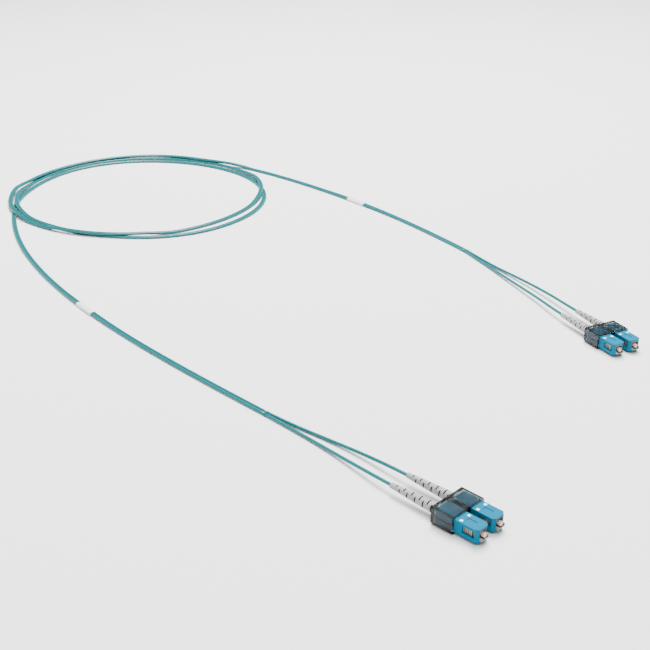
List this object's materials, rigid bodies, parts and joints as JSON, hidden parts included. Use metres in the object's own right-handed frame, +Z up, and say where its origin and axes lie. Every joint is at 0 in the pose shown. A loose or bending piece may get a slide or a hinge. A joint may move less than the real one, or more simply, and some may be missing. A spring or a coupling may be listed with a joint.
{
  "type": "fibre optic patch cord",
  "caption": "Duplex fibre patch cord: push-pull plugs paired by smoke grey clips at both ends, ribbed boots, and a flat twin cable laid in a loose coil.",
  "frame": {"origin": "on the resting surface, under the middle of the front edge of the end A clip", "axes": "+X the way end A plugs in, +Z up from the resting surface, +Y to the left of end A"},
  "size_m": [0.6541, 0.3265, 0.0104],
  "materials": {
    "grip_blue": "satin",
    "frame_beige": "satin",
    "zirconia": "polished",
    "flange_nickel": "turned",
    "spring_steel": "drawn wire",
    "stop_nickel": "turned",
    "crimp_nickel": "turned",
    "yarn_yellow": "fibrous",
    "buffer_aqua": "matte",
    "boot_grey": "matte",
    "clip_smoke": "see-through",
    "jacket_aqua": "satin",
    "label_white": "satin"
  },
  "bodies": {
    "cable": {"cord_coil": "jacket_aqua", "plug_frame_a1": "frame_beige", "stop_body_a1": "stop_nickel", "crimp_sleeve_a1": "crimp_nickel", "aramid_yarn_a1": "yarn_yellow", "boot_a1": "boot_grey", "leg_a1": "jacket_aqua", "spring_a1": "spring_steel", "plug_frame_a2": "frame_beige", "stop_body_a2": "stop_nickel", "crimp_sleeve_a2": "crimp_nickel", "aramid_yarn_a2": "yarn_yellow", "boot_a2": "boot_grey", "leg_a2": "jacket_aqua", "spring_a2": "spring_steel", "zip_cord_a": "jacket_aqua", "label_sleeve_a": "label_white", "plug_frame_b1": "frame_beige", "stop_body_b1": "stop_nickel", "crimp_sleeve_b1": "crimp_nickel", "aramid_yarn_b1": "yarn_yellow", "boot_b1": "boot_grey", "leg_b1": "jacket_aqua", "spring_b1": "spring_steel", "plug_frame_b2": "frame_beige", "stop_body_b2": "stop_nickel", "crimp_sleeve_b2": "crimp_nickel", "aramid_yarn_b2": "yarn_yellow", "boot_b2": "boot_grey", "leg_b2": "jacket_aqua", "spring_b2": "spring_steel", "zip_cord_b": "jacket_aqua", "label_sleeve_b": "label_white"},
    "sleeve_a": {"grip_a1": "grip_blue", "grip_a2": "grip_blue", "clip_upper_a": "clip_smoke", "clip_lower_a": "clip_smoke"},
    "ferrule_a1_set": {"ferrule_a1": "zirconia", "ferrule_flange_a1": "flange_nickel", "buffered_fibre_a1": "buffer_aqua"},
    "ferrule_a2_set": {"ferrule_a2": "zirconia", "ferrule_flange_a2": "flange_nickel", "buffered_fibre_a2": "buffer_aqua"},
    "sleeve_b": {"grip_b1": "grip_blue", "grip_b2": "grip_blue", "clip_upper_b": "clip_smoke", "clip_lower_b": "clip_smoke"},
    "ferrule_b1_set": {"ferrule_b1": "zirconia", "ferrule_flange_b1": "flange_nickel", "buffered_fibre_b1": "buffer_aqua"},
    "ferrule_b2_set": {"ferrule_b2": "zirconia", "ferrule_flange_b2": "flange_nickel", "buffered_fibre_b2": "buffer_aqua"}
  },
  "joints": [
    {"name": "sleeve_a_slide", "type": "slide", "parent": "cable", "child": "sleeve_a", "axis": [-1, 0, 0], "range_m": [0, 0.002]},
    {"name": "ferrule_a1_slide", "type": "slide", "parent": "cable", "child": "ferrule_a1_set", "axis": [-1, 0, 0], "range_m": [0, 0.001], "stiffness_N_per_m": 3000, "springref_m": -0.002, "deforming": ["spring_a1"]},
    {"name": "ferrule_a2_slide", "type": "slide", "parent": "cable", "child": "ferrule_a2_set", "axis": [-1, 0, 0], "range_m": [0, 0.001], "stiffness_N_per_m": 3000, "springref_m": -0.002, "deforming": ["spring_a2"]},
    {"name": "sleeve_b_slide", "type": "slide", "parent": "cable", "child": "sleeve_b", "axis": [-0.9475, 0.3198, 0], "range_m": [0, 0.002]},
    {"name": "ferrule_b1_slide", "type": "slide", "parent": "cable", "child": "ferrule_b1_set", "axis": [-0.9475, 0.3198, 0], "range_m": [0, 0.001], "stiffness_N_per_m": 3000, "springref_m": -0.002, "deforming": ["spring_b1"]},
    {"name": "ferrule_b2_slide", "type": "slide", "parent": "cable", "child": "ferrule_b2_set", "axis": [-0.9475, 0.3198, 0], "range_m": [0, 0.001], "stiffness_N_per_m": 3000, "springref_m": -0.002, "deforming": ["spring_b2"]}
  ]
}
